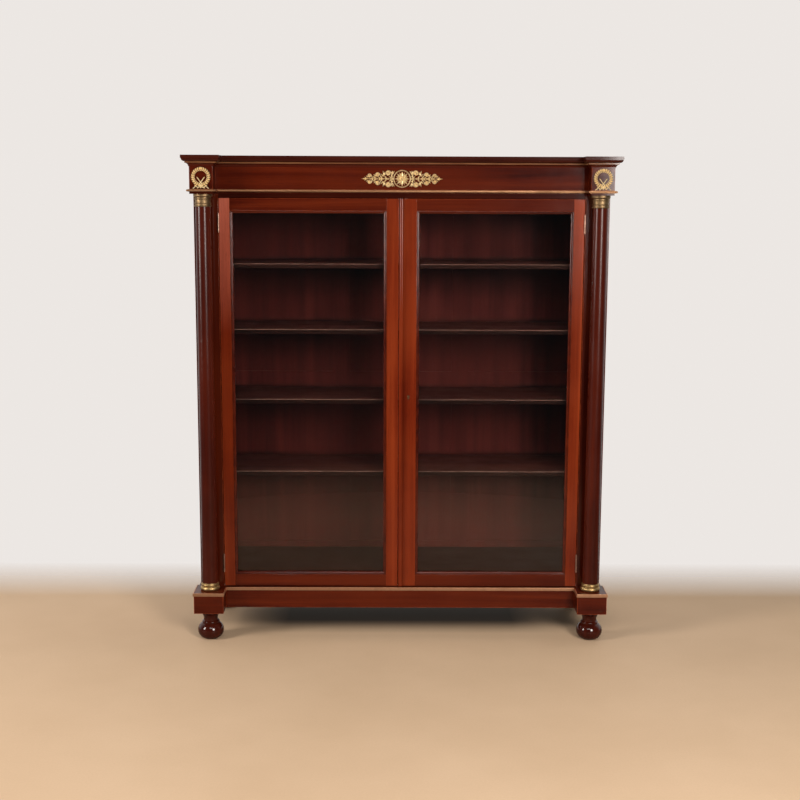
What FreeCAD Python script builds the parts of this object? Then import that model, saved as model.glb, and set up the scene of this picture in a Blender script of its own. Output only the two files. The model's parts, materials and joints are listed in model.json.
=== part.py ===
import FreeCAD, Part
import os

from FreeCAD import Placement, Rotation, Vector

# Glazed two-door bookcase with adjustable shelves and free-standing corner columns.
# Millimetres, +Z up, the doors face -Y and +X is to the right of someone facing them.
# The origin is on the floor, in the middle of the outer box.

# Overall sizes
width = 1426.0  # over the cornice
depth = 457.0  # cornice front to flat back
height = 1633.0  # floor to cornice top

# Heights of the stacked stages
foot_high = 100.0
plinth_high = 72.0
slab_high = 15.0
frieze_high = 73.0
cornice_high = 36.0
cornice_top_thick = 18.0

# Steps in plan
cornice_out = 24.0  # cornice beyond the frieze
case_inset = 2.0  # case sides behind the frieze's ends
frieze_out = 5.0  # middle of the frieze ahead of the door face
apron_out = 10.0  # plinth apron ahead of the door face
plinth_side_out = 8.0
block_width = 76.0  # frieze block over each column
plinth_block = 100.0  # square block under each column
bead_out = 9.0
bead_high = 8.0
brass_strip_out = 2.5
brass_strip_high = 10.5

# Case
side_thick = 20.0
face_wide = 80.4
frieze_thick = 25.0
header_lip = 11.0
header_high = 31.0
header_deep = 40.0
bottom_rail_high = 25.0
bottom_rail_deep = 22.0
board_thick = 22.0
top_thick = 18.0
back_thick = 16.0
back_lap = 10.0
back_stile = 60.0
back_rail = 70.0
back_panel_thick = 7.0
back_panel_in = 4.0  # panels behind the back's inner face
back_groove = 8.0
plinth_board = 24.0

# Columns
column_foot_r = 27.0
column_head_r = 25.0
column_dowel_r = 12.0
dowel_into_block = 30.0
base_high = 26.0
base_ring_out = 6.0  # base ring beyond the column's foot
capital_high = 41.0
capital_out = 6.0  # capital's top beyond the column's head
column_clear = 1.0  # base ring ahead of the case face

# Ball feet
ball_r = 44.0
ball_high = 62.0
foot_flat_r = 17.0
neck_r = 24.3
collar_r = 35.0
collar_high = 8.0
foot_dowel_r = 12.0
foot_dowel_high = 25.0

# Doors
door_gap = 2.0
door_floor_gap = 3.0
door_thick = 22.0
door_rear_gap = 2.0  # between a door's rear and its stops
door_stile = 35.6
door_rail = 39.5
inner_stile = 50.0  # middle of the opening to the inner edge of a meeting stile
sash_wide = 9.5  # moulding between the frame and the pane
sash_proud = 2.0
glass_set_back = 13.0
glass_thick = 3.0
glass_clear = 0.5
tenon_long = 20.0
tenon_thick = 8.0
tenon_shoulder = 6.0
meeting_bead_wide = 17.0
meeting_bead_out = 7.0
meeting_gap = 2.0

# Hinges
barrel_r = 3.2
barrel_long = 56.0
knuckles = 5
knuckle_gap = 0.3
hinge_pin_r = 1.5
pin_clear = 0.05
finial_r = 2.8
finial_high = 4.0
leaf_thick = 2.0
leaf_back = 2.0  # leaves stop short of the door's rear face
screw_r = 1.5
screw_head_r = 3.0
screw_long = 15.0

# Lock
lock_height = 660.0  # above the door's lower edge
lock_case_size = (50.0, 13.0, 60.0)
lock_bolt_size = (34.0, 7.0, 15.0)
lock_throw = 9.0
lock_clear = 0.3
lock_bolt_in = 0.5  # withdrawn bolt behind the door's edge
lock_slot_spare = 3.0  # mortise deeper than the throw
key_in = 33.0  # keyhole from the door's meeting edge
key_rise = 2.0  # keyhole above the lock's middle
keyhole_r = 3.0
key_slot_wide = 3.0
key_slot_long = 9.0
key_liner = 1.3
key_liner_deep = 4.0

# Bolts of the left door
bolt_r = 3.4
bolt_clear = 0.08
bolt_long = 66.0
bolt_throw = 12.0
bolt_rest_gap = 2.0
bolt_plate = (16.0, 4.0, 50.0)
bolt_stand_off = 5.0
bolt_hole_clear = 0.6
bolt_knob_r = 4.5
bolt_knob_high = 3.0
bolt_knob_in = 24.0  # knob from the bolt's tail
bolt_stem_r = 1.8
bolt_stem_long = 3.0
bolt_lug_long = 7.0
bolt_lug_wall = 2.0
bolt_tip_out = 10.0  # bolt's tip beyond its guide plate

# Shelves
shelf_thick = 15.0
shelf_end_gap = 1.5
shelf_front_gap = 21.0  # behind the case face boards
shelf_back_gap = 3.0
shelf_nose = 2.0
bay_shares = (350.0, 250.0, 239.0, 221.0, 212.0)  # pitch of each bay, from the bottom up
hole_pitch = 30.0
holes_each_way = 2
hole_r = 3.5
hole_deep = 12.0
pin_inset = 45.0
pin_head = (12.0, 12.0, 4.0)
pin_drop = 4.5

# Gilt mounts
mount_thick = 5.0
mount_ring_r = 29.0
mount_ring_band = 5.0
mount_hub_r = 9.0
mount_spokes = 8
mount_spoke_wide = 5.0
mount_spoke_low = 1.5  # spokes behind the ring's face
mount_half_long = 135.0
mount_belly = 62.0  # from the ring to the middle of a spray
mount_half_high = 27.0
wreath_r = 26.0
wreath_band = 5.5  # half the width of the laurel ring
wreath_rise = 3.0  # above the middle of the frieze
wreath_stem = (3.0, 3.0, 31.0)
wreath_tail = (4.0, 2.5, 18.0)

# Places worked out from the sizes above
face_thick = door_thick + door_rear_gap
base_ring_r = column_foot_r + base_ring_out
capital_r = column_head_r + capital_out
leaf_deep = door_thick - leaf_back
front = -depth / 2
back = depth / 2
frieze_half = width / 2 - cornice_out
case_half = frieze_half - case_inset
inside_half = case_half - side_thick
opening_half = case_half - face_wide
column_x = frieze_half - block_width / 2
block_face = front + cornice_out
column_y = block_face + block_width / 2
door_face = column_y + base_ring_r + column_clear
face_back = door_face + face_thick
back_face = back - back_thick
plinth_half = column_x + plinth_block / 2
plinth_top = foot_high + plinth_high
cornice_base = height - cornice_high
frieze_base = cornice_base - frieze_high
slab_base = frieze_base - slab_high
frieze_top = height - cornice_top_thick
floor_base = plinth_top + bottom_rail_high
floor_top = floor_base + board_thick
ceiling = slab_base - top_thick
door_bottom = plinth_top + door_floor_gap
door_top = slab_base - header_lip - door_gap
pane_low = door_bottom + door_rail + sash_wide
pane_high = door_top - door_rail - sash_wide
lock_z = door_bottom + lock_height
shelf_front = face_back + shelf_front_gap
shelf_back = back_face - shelf_back_gap
hinge_x = opening_half - door_gap / 2
hinge_y = door_face - barrel_r - 0.5
hinge_half = barrel_long / 2 + finial_high
sides = {"left": -1, "right": 1}


def box(x, y, z):
    """Box that spans the two values given for each axis, in either order."""
    low = Vector(min(x), min(y), min(z))
    return Part.makeBox(max(x) - low.x, max(y) - low.y, max(z) - low.z, low)


def rod(start, end, radius):
    return Part.makeCylinder(radius, (end - start).Length, start, end - start)


def face_of(steps, place):
    """Flat face. A step (u, v) ends a straight edge; a pair of them is an arc's middle and end."""
    first = place(*steps[0])
    here = first
    edges = []
    for step in steps[1:]:
        if isinstance(step[0], tuple):
            middle = place(*step[0])
            end = place(*step[1])
            edges.append(Part.Arc(here, middle, end).toShape())
        else:
            end = place(*step)
            edges.append(Part.makeLine(here, end))
        here = end
    if here.distanceToPoint(first) > 0.001:
        edges.append(Part.makeLine(here, first))
    return Part.Face(Part.Wire(edges))


def turned(steps, x, y):
    """Turned piece about an upright axis, from its half section (radius, height)."""
    section = face_of(steps, lambda radius, z: Vector(x + radius, y, z))
    return section.revolve(Vector(x, y, 0), Vector(0, 0, 1), 360)


def plate(points, z, high):
    """Board of any outline in plan."""
    corners = [Vector(x, y, z) for x, y in points]
    return Part.Face(Part.makePolygon(corners + corners[:1])).extrude(Vector(0, 0, high))


def beyond(point, normal):
    """Block that fills everything past a plane, on the side its normal points to."""
    size = 2 * (width + depth + height)
    block = Part.makeBox(size, size, size)
    block.Placement = Placement(point, Rotation(Vector(0, 0, 1), normal)).multiply(
        Placement(Vector(-size / 2, -size / 2, 0), Rotation())
    )
    return block


def moulding_run(steps, path, up, closed=False):
    """Mitred lengths of one section (out, up) along a path; out is along x up."""
    spare = 2 * max(abs(value) for step in steps for value in flat(step))
    corners = list(path) + ([path[0]] if closed else [])
    runs = [(end - start).normalize() for start, end in zip(corners, corners[1:])]
    lengths = []
    for index, along in enumerate(runs):
        start = corners[index]
        end = corners[index + 1]
        before = runs[index - 1] if closed or index else along
        after = runs[(index + 1) % len(runs)] if closed or index + 1 < len(runs) else along
        out = along.cross(up)
        begin = start - along * spare
        section = face_of(steps, lambda u, v: begin + out * u + up * v)
        length = section.extrude(along * ((end - start).Length + 2 * spare))
        length = length.cut(beyond(start, (before + along) * -1))
        lengths.append(length.cut(beyond(end, along + after)))
    return lengths


def flat(step):
    """Every number in one step of a section."""
    if isinstance(step[0], tuple):
        return step[0] + step[1]
    return step


def solids(*shapes):
    return [solid for shape in shapes for solid in shape.Solids]


def breakfront(outer, deep, middle):
    """Plan of a stage that steps forward over the columns: back left round to back right."""
    inner = 2 * column_x - outer
    return [
        (-outer, back),
        (-outer, deep),
        (-inner, deep),
        (-inner, middle),
        (inner, middle),
        (inner, deep),
        (outer, deep),
        (outer, back),
    ]


def shelf_tops():
    """Height of each shelf's top; the bays share the room inside in fixed proportion."""
    room = ceiling - floor_top
    total = sum(bay_shares)
    return [
        floor_top + room * sum(bay_shares[: count + 1]) / total
        for count in range(len(bay_shares) - 1)
    ]


def pin_rows():
    return (shelf_front + pin_inset, shelf_back - pin_inset)


# Case


def side_panel(side):
    """Case side with a rabbet for the back and rows of holes for the shelf pins."""
    inner = side * inside_half
    panel = box((inner, side * case_half), (face_back, back), (plinth_top, slab_base))
    rabbet = box((inner, inner + side * back_lap), (back_face, back), (plinth_top, slab_base))
    holes = []
    for top in shelf_tops():
        for step in range(-holes_each_way, holes_each_way + 1):
            z = top - shelf_thick - pin_drop + step * hole_pitch
            for y in pin_rows():
                start = Vector(inner - side, y, z)
                holes.append(rod(start, Vector(inner + side * hole_deep, y, z), hole_r))
    return panel.cut([rabbet] + holes)


def shelf_pins():
    """Brass pins: a round shank in the case side and a flat head under the shelf."""
    pins = []
    head_long, head_wide, head_high = pin_head
    for side in sides.values():
        for top in shelf_tops():
            seat = top - shelf_thick
            for y in pin_rows():
                inner = side * (inside_half - head_long)
                head = box(
                    (inner, side * inside_half),
                    (y - head_wide / 2, y + head_wide / 2),
                    (seat - head_high, seat),
                )
                shank_z = seat - pin_drop
                shank = rod(
                    Vector(inner + side, y, shank_z),
                    Vector(side * (inside_half + hole_deep - 1), y, shank_z),
                    hole_r - pin_clear,
                )
                pins.append(head.fuse(shank).removeSplitter())
    return pins


def shelf(top):
    """Loose board with its two front edges eased."""
    half = inside_half - shelf_end_gap
    board = box((-half, half), (shelf_front, shelf_back), (top - shelf_thick, top))
    front_edges = [
        edge
        for edge in board.Edges
        if all(abs(vertex.Y - shelf_front) < 0.01 for vertex in edge.Vertexes)
        and abs(edge.Vertexes[0].X - edge.Vertexes[1].X) > half
    ]
    return board.makeFillet(min(shelf_nose, shelf_thick / 3), front_edges)


def header_rail():
    """Rail over the doors; its rear part hangs down as the stop for the door tops."""
    lip = box((-opening_half, opening_half), (door_face, face_back), (slab_base - header_lip, slab_base))
    stop = box(
        (-inside_half, inside_half),
        (face_back, face_back + header_deep),
        (slab_base - header_high, slab_base),
    )
    return lip.fuse(stop).removeSplitter().cut(bolt_hole(1))


def bottom_board():
    board = box((-inside_half, inside_half), (face_back, back_face), (floor_base, floor_top))
    return board.cut(bolt_hole(-1))


def back_panelling():
    """Frame-and-panel back: stiles, rails and muntins, with six loose panels in their grooves."""
    half = inside_half + back_lap
    y = (back_face, back)
    inner = half - back_stile
    opening = (2 * inner - 2 * back_stile) / 3
    low = plinth_top + back_rail
    high = slab_base - back_rail
    middle = (low + high) / 2
    rows = ((low, middle - back_rail / 2), (middle + back_rail / 2, high))
    columns = [
        (-inner + index * (opening + back_stile), -inner + index * (opening + back_stile) + opening)
        for index in range(3)
    ]
    members = [box((side * inner, side * half), y, (plinth_top, slab_base)) for side in (-1, 1)]
    for bottom, top in ((plinth_top, low), (rows[0][1], rows[1][0]), (high, slab_base)):
        members.append(box((-inner, inner), y, (bottom, top)))
    for left_end, right_start in ((columns[0][1], columns[1][0]), (columns[1][1], columns[2][0])):
        for bottom, top in rows:
            members.append(box((left_end, right_start), y, (bottom, top)))
    panel_front = back_face + back_panel_in
    panel_y = (panel_front, panel_front + back_panel_thick)
    panels = [
        box(
            (left - back_groove, right + back_groove),
            panel_y,
            (bottom - back_groove, top + back_groove),
        )
        for left, right in columns
        for bottom, top in rows
    ]
    return [member.cut(panels) for member in members], panels


def build_case():
    nodes = {}
    for name, side in sides.items():
        nodes["side_panel_" + name] = solids(side_panel(side))
        stile = box(
            (side * opening_half, side * case_half), (door_face, face_back), (plinth_top, slab_base)
        )
        cutters = [leaf_block(side, z, True) for z in hinge_heights()]
        cutters += case_screws(side)
        nodes["face_stile_" + name] = solids(stile.cut(cutters))
    nodes["header_rail"] = solids(header_rail())
    nodes["bottom_rail"] = solids(
        box(
            (-inside_half, inside_half),
            (face_back, face_back + bottom_rail_deep),
            (plinth_top, floor_base),
        )
    )
    nodes["bottom_board"] = solids(bottom_board())
    nodes["top_board"] = solids(
        box((-inside_half, inside_half), (face_back + header_deep, back_face), (ceiling, slab_base))
    )
    members, panels = back_panelling()
    nodes["back_frame"] = solids(*members)
    nodes["back_panels"] = solids(*panels)
    for count, top in enumerate(shelf_tops()):
        nodes["shelf_%d" % (count + 1)] = solids(shelf(top))
    nodes["shelf_pins"] = solids(*shelf_pins())
    return nodes


# Frieze and cornice


def cornice_section():
    """Top fillet, ovolo, fillet, cove and bottom fillet, stepping in by the cornice's depth."""
    out = cornice_out
    high = cornice_high
    return [
        (0, 0),
        (0.08 * out, 0),
        (0.08 * out, 0.08 * high),
        ((0.18 * out, 0.2 * high), (0.5 * out, 0.3 * high)),
        (0.5 * out, 0.44 * high),
        (0.56 * out, 0.44 * high),
        ((0.83 * out, 0.54 * high), (0.92 * out, 0.72 * high)),
        (out, 0.72 * high),
        (out, high),
        (0, high),
    ]


def bead_section():
    """Half-round nose under the frieze, between two small fillets."""
    fillet = 0.12 * bead_high
    return [
        (0, -bead_high),
        (0.45 * bead_out, -bead_high),
        (0.45 * bead_out, fillet - bead_high),
        ((bead_out, -bead_high / 2), (0.45 * bead_out, -fillet)),
        (0.45 * bead_out, 0),
        (0, 0),
    ]


def frieze_path(z):
    plan = breakfront(frieze_half, block_face, door_face - frieze_out)
    return [Vector(x, y, z) for x, y in plan]


def rosette(y, z):
    """Ring, hub and the spokes between them."""
    back_centre = Vector(0, y, z)
    front_centre = Vector(0, y - mount_thick, z)
    ring = rod(back_centre, front_centre, mount_ring_r)
    ring = ring.cut(rod(back_centre, front_centre, mount_ring_r - mount_ring_band))
    hub = rod(back_centre, front_centre, mount_hub_r)
    half = mount_spoke_wide / 2
    spokes = []
    for turn in range(mount_spokes):
        spoke = box(
            (-half, half),
            (y - mount_thick + mount_spoke_low, y),
            (z + mount_hub_r - 1, z + mount_ring_r - mount_ring_band + 1),
        )
        spoke.rotate(back_centre, Vector(0, 1, 0), turn * 360 / mount_spokes)
        spokes.append(spoke)
    return ring.fuse(spokes + [hub]).removeSplitter()


def centre_mount():
    """Gilt ring and rosette between two leaf sprays that taper to a point."""
    y = door_face - frieze_out
    z = (frieze_base + cornice_base) / 2
    hollow = rod(Vector(0, y + 1, z), Vector(0, y - mount_thick - 1, z), mount_ring_r)
    sprays = []
    for side in sides.values():
        inner = side * mount_ring_r
        tip = side * mount_half_long
        belly = inner + side * mount_belly
        steps = [
            (inner, -mount_half_high),
            ((belly, -0.55 * mount_half_high), (tip, 0)),
            ((belly, 0.55 * mount_half_high), (inner, mount_half_high)),
        ]
        spray = face_of(steps, lambda u, v: Vector(u, y, z + v)).extrude(Vector(0, 1 - mount_thick, 0))
        sprays.append(spray.cut(hollow))
    return solids(rosette(y, z), *sprays)


def wreath(side):
    """Laurel ring with crossed stems and two ribbon tails."""
    x = side * column_x
    z = (frieze_base + cornice_base) / 2 + wreath_rise
    y = block_face
    centre = Vector(x, y, z)
    face = Vector(x, y - mount_thick, z)
    ring = rod(centre, face, wreath_r + wreath_band)
    ring = ring.cut(rod(centre, face, wreath_r - wreath_band))
    foot = z - wreath_r
    tails = []
    for lean in (-1, 1):
        wide, thick, long = wreath_stem
        stem = box((x - wide / 2, x + wide / 2), (y - thick, y), (foot - 9, foot - 9 + long))
        stem.rotate(Vector(x, y, foot + 8), Vector(0, 1, 0), lean * 35)
        wide, thick, long = wreath_tail
        tail = box((x - wide / 2, x + wide / 2), (y - thick, y), (foot - 14, foot - 14 + long))
        tail.rotate(Vector(x, y, foot), Vector(0, 1, 0), lean * 52)
        tails += [stem, tail]
    return solids(ring.fuse(tails).removeSplitter())


def build_entablature():
    nodes = {}
    middle = door_face - frieze_out
    block_inner = 2 * column_x - frieze_half
    outline = breakfront(frieze_half, block_face, middle)
    block_back = face_back
    slab = plate(outline, slab_base, slab_high)
    nodes["architrave_slab"] = solids(slab.cut([column_dowel(side) for side in sides.values()]))
    nodes["cornice_top"] = solids(plate(outline, frieze_top, cornice_top_thick))
    z = (frieze_base, frieze_top)
    nodes["frieze_board"] = solids(
        box((-block_inner, block_inner), (middle, middle + frieze_thick), z)
    )
    for name, side in sides.items():
        x = (side * block_inner, side * frieze_half)
        nodes["frieze_block_" + name] = solids(box(x, (block_face, block_back), z))
        nodes["wreath_" + name] = wreath(side)
    rear = [
        box((side * (frieze_half - side_thick), side * frieze_half), (block_back, back), z)
        for side in sides.values()
    ]
    inner = frieze_half - side_thick
    rear.append(box((-inner, inner), (back - side_thick, back), z))
    nodes["frieze_rear_boards"] = solids(*rear)
    up = Vector(0, 0, 1)
    nodes["frieze_bead"] = solids(*moulding_run(bead_section(), frieze_path(frieze_base), up))
    nodes["cornice_moulding"] = solids(
        *moulding_run(cornice_section(), frieze_path(cornice_base), up)
    )
    nodes["centre_mount"] = centre_mount()
    return nodes


# Columns


def column_dowel(side):
    """Dowel on the column's axis, from inside the plinth block up into the slab."""
    x = side * column_x
    start = Vector(x, column_y, plinth_top - dowel_into_block)
    return rod(start, Vector(x, column_y, slab_base + slab_high / 2), column_dowel_r)


def column(side):
    """Shaft with a slight swell, turned in one piece with its dowels."""
    x = side * column_x
    low = plinth_top + base_high
    high = slab_base - capital_high
    middle = (low + high) / 2
    swell = (column_foot_r + column_head_r) / 2 + 0.4
    shaft = turned(
        [
            (0, low),
            (column_foot_r, low),
            ((swell, middle), (column_head_r, high)),
            (0, high),
        ],
        x,
        column_y,
    )
    return shaft.fuse(column_dowel(side)).removeSplitter()


def capital(side):
    """Brass ring capital: flat top, ovolo, and three fine annulets round the neck."""
    top = slab_base
    low = slab_base - capital_high
    neck = column_head_r + 1.2
    bore = column_dowel_r
    steps = [
        (bore, low),
        (neck + 1.5, low),
        ((neck + 3.2, low + 2.2), (neck + 1.5, low + 4.4)),
        (neck, low + 4.4),
        (neck, low + 9),
        ((neck + 2.2, low + 10.8), (neck, low + 12.6)),
        (neck, top - 18),
        ((neck + 2.4, top - 16), (neck, top - 14)),
        (neck, top - 11.5),
        ((capital_r - 1.3, top - 9.5), (capital_r, top - 5.5)),
        (capital_r, top),
        (bore, top),
    ]
    return turned(steps, side * column_x, column_y)


def column_base(side):
    """Brass ring base: a torus, a hollow and a small upper ring."""
    low = plinth_top
    bore = column_dowel_r
    upper = 12.0  # height of the part above the torus
    torus = base_high - upper
    waist = column_foot_r + 1
    shoulder = base_ring_r - 4
    steps = [
        (bore, low),
        (shoulder, low),
        ((base_ring_r, low + torus / 2), (shoulder, low + torus)),
        (waist, low + torus),
        (waist, low + torus + 3.5),
        ((waist + 2.6, low + torus + 6.5), (waist, low + torus + 9.5)),
        (waist - 0.5, low + base_high),
        (bore, low + base_high),
    ]
    return turned(steps, side * column_x, column_y)


def build_columns():
    nodes = {}
    for name, side in sides.items():
        nodes["column_" + name] = solids(column(side))
        nodes["capital_" + name] = solids(capital(side))
        nodes["column_base_" + name] = solids(column_base(side))
    return nodes


# Plinth and feet


def foot_places():
    rear_x = case_half + plinth_side_out - plinth_block / 2
    rear_y = back - plinth_block / 2
    return {
        "feet_front": [(side * column_x, column_y) for side in (-1, 1)],
        "feet_rear": [(side * rear_x, rear_y) for side in (-1, 1)],
    }


def ball_foot(x, y):
    """Turned foot: flattened ball, incised shoulder ring, waisted neck, collar and dowel."""
    shoulder = 0.9 * ball_high
    collar_low = foot_high - collar_high
    return turned(
        [
            (0, 0),
            (foot_flat_r, 0),
            ((ball_r, 0.48 * ball_high), (neck_r + 6, shoulder)),
            (neck_r + 4.2, shoulder + 0.5),
            (neck_r + 4.2, shoulder + 2.5),
            ((neck_r + 5.4, shoulder + 4), (neck_r + 3, ball_high + 1)),
            (neck_r, ball_high + 3),
            ((neck_r + 1.6, (ball_high + collar_low) / 2 + 4), (collar_r - 2, collar_low)),
            (collar_r, collar_low),
            (collar_r, foot_high),
            (foot_dowel_r, foot_high),
            (foot_dowel_r, foot_high + foot_dowel_high),
            (0, foot_high + foot_dowel_high),
        ],
        x,
        y,
    )


def foot_dowel(x, y):
    return rod(Vector(x, y, foot_high), Vector(x, y, foot_high + foot_dowel_high), foot_dowel_r)


def plinth_block_at(x, y):
    half = plinth_block / 2
    block = box((x - half, x + half), (y - half, y + half), (foot_high, plinth_top))
    return block.cut(foot_dowel(x, y))


def brass_strip_section():
    """Flat strip on the top edge of the plinth, its outer corner eased."""
    ease = 0.4 * brass_strip_out
    return [
        (0, -brass_strip_high),
        (brass_strip_out, -brass_strip_high),
        (brass_strip_out, -ease),
        ((brass_strip_out - 0.3 * ease, -0.3 * ease), (brass_strip_out - ease, 0)),
        (0, 0),
    ]


def build_plinth():
    nodes = {}
    places = foot_places()
    z = (foot_high, plinth_top)
    block_front = column_y - plinth_block / 2
    block_rear = column_y + plinth_block / 2
    inner = column_x - plinth_block / 2
    apron_face = door_face - apron_out
    nodes["plinth_apron"] = solids(box((-inner, inner), (apron_face, face_back), z))
    for (name, side), place in zip(sides.items(), places["feet_front"]):
        block = plinth_block_at(*place).cut(column_dowel(side))
        nodes["plinth_block_" + name] = solids(block)
    side_x = case_half + plinth_side_out
    rear_blocks = [plinth_block_at(*place) for place in places["feet_rear"]]
    side_boards = [
        box((side * (side_x - plinth_board), side * side_x), (block_rear, back - plinth_block), z)
        for side in sides.values()
    ]
    rail_end = side_x - plinth_block
    rail = box((-rail_end, rail_end), (back - plinth_board, back), z)
    nodes["plinth_rear_frame"] = solids(*rear_blocks, *side_boards, rail)
    plan = breakfront(plinth_half, block_front, apron_face)
    plan[0] = (plan[0][0], block_rear)
    plan[-1] = (plan[-1][0], block_rear)
    path = [Vector(x, y, plinth_top) for x, y in plan]
    nodes["plinth_brass_strip"] = solids(
        *moulding_run(brass_strip_section(), path, Vector(0, 0, 1))
    )
    for name, spots in places.items():
        nodes[name] = solids(*[ball_foot(x, y) for x, y in spots])
    return nodes


# Hinges


def hinge_heights():
    """Hinges line up with the ends of the panes."""
    return (pane_low + hinge_half, pane_high - hinge_half)


def leaf_block(side, z, on_case):
    """Recess that one hinge leaf fills, in the case or in the door's edge."""
    edge = opening_half if on_case else opening_half - door_gap
    inner = edge + leaf_thick if on_case else edge - leaf_thick
    return box(
        (side * edge, side * inner),
        (door_face, door_face + leaf_deep),
        (z - barrel_long / 2, z + barrel_long / 2),
    )


def knuckle_spans(z, on_case):
    """Heights of the case's knuckles (first, third, ...) or of the door's."""
    pitch = barrel_long / knuckles
    low = z - barrel_long / 2
    spans = []
    for index in range(knuckles):
        if (index % 2 == 0) == on_case:
            start = low + index * pitch + (knuckle_gap / 2 if index else 0)
            end = low + (index + 1) * pitch - (knuckle_gap / 2 if index + 1 < knuckles else 0)
            spans.append((start, end))
    return spans


def hinge_leaf(side, z, on_case):
    """Plate with its knuckles, cleared round the other leaf's knuckles and bored for the pin."""
    x = side * hinge_x
    block = leaf_block(side, z, on_case).BoundBox
    leaf = box((block.XMin, block.XMax), (hinge_y, block.YMax), (block.ZMin, block.ZMax))
    room = barrel_r + knuckle_gap
    for low, high in knuckle_spans(z, not on_case):
        start = Vector(x, hinge_y, low - knuckle_gap)
        leaf = leaf.cut(rod(start, Vector(x, hinge_y, high + knuckle_gap), room))
    barrels = [
        rod(Vector(x, hinge_y, low), Vector(x, hinge_y, high), barrel_r)
        for low, high in knuckle_spans(z, on_case)
    ]
    leaf = leaf.fuse(barrels).removeSplitter()
    bore = rod(
        Vector(x, hinge_y, z - barrel_long), Vector(x, hinge_y, z + barrel_long), hinge_pin_r + pin_clear
    )
    return leaf.cut(bore)


def hinge_pin(side, z):
    """Pin with a small turned button at each end of the barrel."""
    low = z - barrel_long / 2
    high = z + barrel_long / 2
    tip_r = 0.3 * finial_r
    steps = [
        (0, low - finial_high),
        (tip_r, low - finial_high),
        ((finial_r, low - 0.45 * finial_high), (finial_r - 1, low)),
        (hinge_pin_r, low),
        (hinge_pin_r, high),
        (finial_r - 1, high),
        ((finial_r, high + 0.45 * finial_high), (tip_r, high + finial_high)),
        (0, high + finial_high),
    ]
    return turned(steps, side * hinge_x, hinge_y)


def screw(x, y, z, inward):
    """Countersunk screw driven along X, its head flush with the leaf."""
    head = Part.makeCone(
        screw_head_r, screw_r, leaf_thick, Vector(x, y, z), Vector(inward, 0, 0)
    )
    shank = rod(Vector(x, y, z), Vector(x + inward * screw_long, y, z), screw_r)
    return head.fuse(shank).removeSplitter()


def leaf_screws(edge, inward, centre):
    pitch = barrel_long / 3
    return [
        screw(edge, door_face + 0.6 * leaf_deep, centre + step * pitch, inward) for step in (-1, 0, 1)
    ]


def case_screws(side):
    edge = side * opening_half
    return [part for z in hinge_heights() for part in leaf_screws(edge, side, z)]


def door_screws(side):
    edge = side * (opening_half - door_gap)
    return [part for z in hinge_heights() for part in leaf_screws(edge, -side, z)]


def build_hinges():
    nodes = {}
    case_parts = []
    pins = []
    for name, side in sides.items():
        screws = case_screws(side)
        case_parts += [hinge_leaf(side, z, True).cut(screws) for z in hinge_heights()]
        case_parts += screws
        screws = door_screws(side)
        leaves = [hinge_leaf(side, z, False).cut(screws) for z in hinge_heights()]
        nodes["hinge_leaves_" + name] = solids(*leaves, *screws)
        pins += [hinge_pin(side, z) for z in hinge_heights()]
    nodes["hinge_leaves_case"] = solids(*case_parts)
    nodes["hinge_pins"] = solids(*pins)
    return nodes


# Doors


def door_span(side):
    """Where a door's frame lies in X: outer edge, inside of its two stiles, meeting edge."""
    meeting = -meeting_bead_wide / 2
    if side < 0:
        meeting -= meeting_gap
    outer = side * (opening_half - door_gap)
    return outer, outer - side * door_stile, side * inner_stile, meeting


def sash_section():
    """Small proud bead, a quirk, and an ovolo down to the pane."""
    face = glass_set_back
    wide = sash_wide
    return [
        (0, 0),
        (0, face),
        ((0.2 * wide, face + sash_proud), (0.4 * wide, face)),
        (0.42 * wide, face - 2),
        ((0.85 * wide, face - 3.6), (wide, face - 8)),
        (wide, 0),
    ]


def glazing_section():
    """Glazing bead behind the glass, with a chamfered corner."""
    high = door_thick - glass_set_back - glass_thick
    return [(0, 0), (0, high), (4, high), (8, 0.5 * high), (8, 0)]


def pane_path(side, y, facing):
    """Corners of the frame's inner edge, ordered so that a section's out points at the pane."""
    edges = sorted(door_span(side)[1:3])
    low = door_bottom + door_rail
    high = door_top - door_rail
    corners = [
        Vector(edges[1], y, low),
        Vector(edges[0], y, low),
        Vector(edges[0], y, high),
        Vector(edges[1], y, high),
    ]
    return corners if facing < 0 else corners[::-1]


def door_frame(side):
    """Two stiles and two rails, with stub tenons, cut for the hinges, lock and screws."""
    outer, outer_in, inner_in, meeting = door_span(side)
    y = (door_face, door_face + door_thick)
    z = (door_bottom, door_top)
    hinge_stile = box((outer, outer_in), y, z)
    meeting_stile = box((inner_in, meeting), y, z)
    middle = door_face + door_thick / 2
    tenon_y = (middle - tenon_thick / 2, middle + tenon_thick / 2)
    rails = []
    tenons = []
    for low, high in ((door_bottom, door_bottom + door_rail), (door_top - door_rail, door_top)):
        tenon = box(
            (outer_in + side * tenon_long, inner_in - side * tenon_long),
            tenon_y,
            (low + tenon_shoulder, high - tenon_shoulder),
        )
        tenons.append(tenon)
        rail = box((outer_in, inner_in), y, (low, high))
        rails.append(rail.fuse(tenon).removeSplitter())
    hinge_cutters = [leaf_block(side, place, False) for place in hinge_heights()]
    hinge_stile = hinge_stile.cut(tenons + hinge_cutters + door_screws(side))
    lock_cutters = [lock_body()] + keyhole_shape(key_liner, door_face, key_liner_deep)
    lock_cutters += keyhole_shape(0, door_face, lock_y()[0] - door_face)
    meeting_stile = meeting_stile.cut(tenons + (lock_cutters if side > 0 else [bolt_mortise()]))
    return [hinge_stile, meeting_stile], rails


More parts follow.
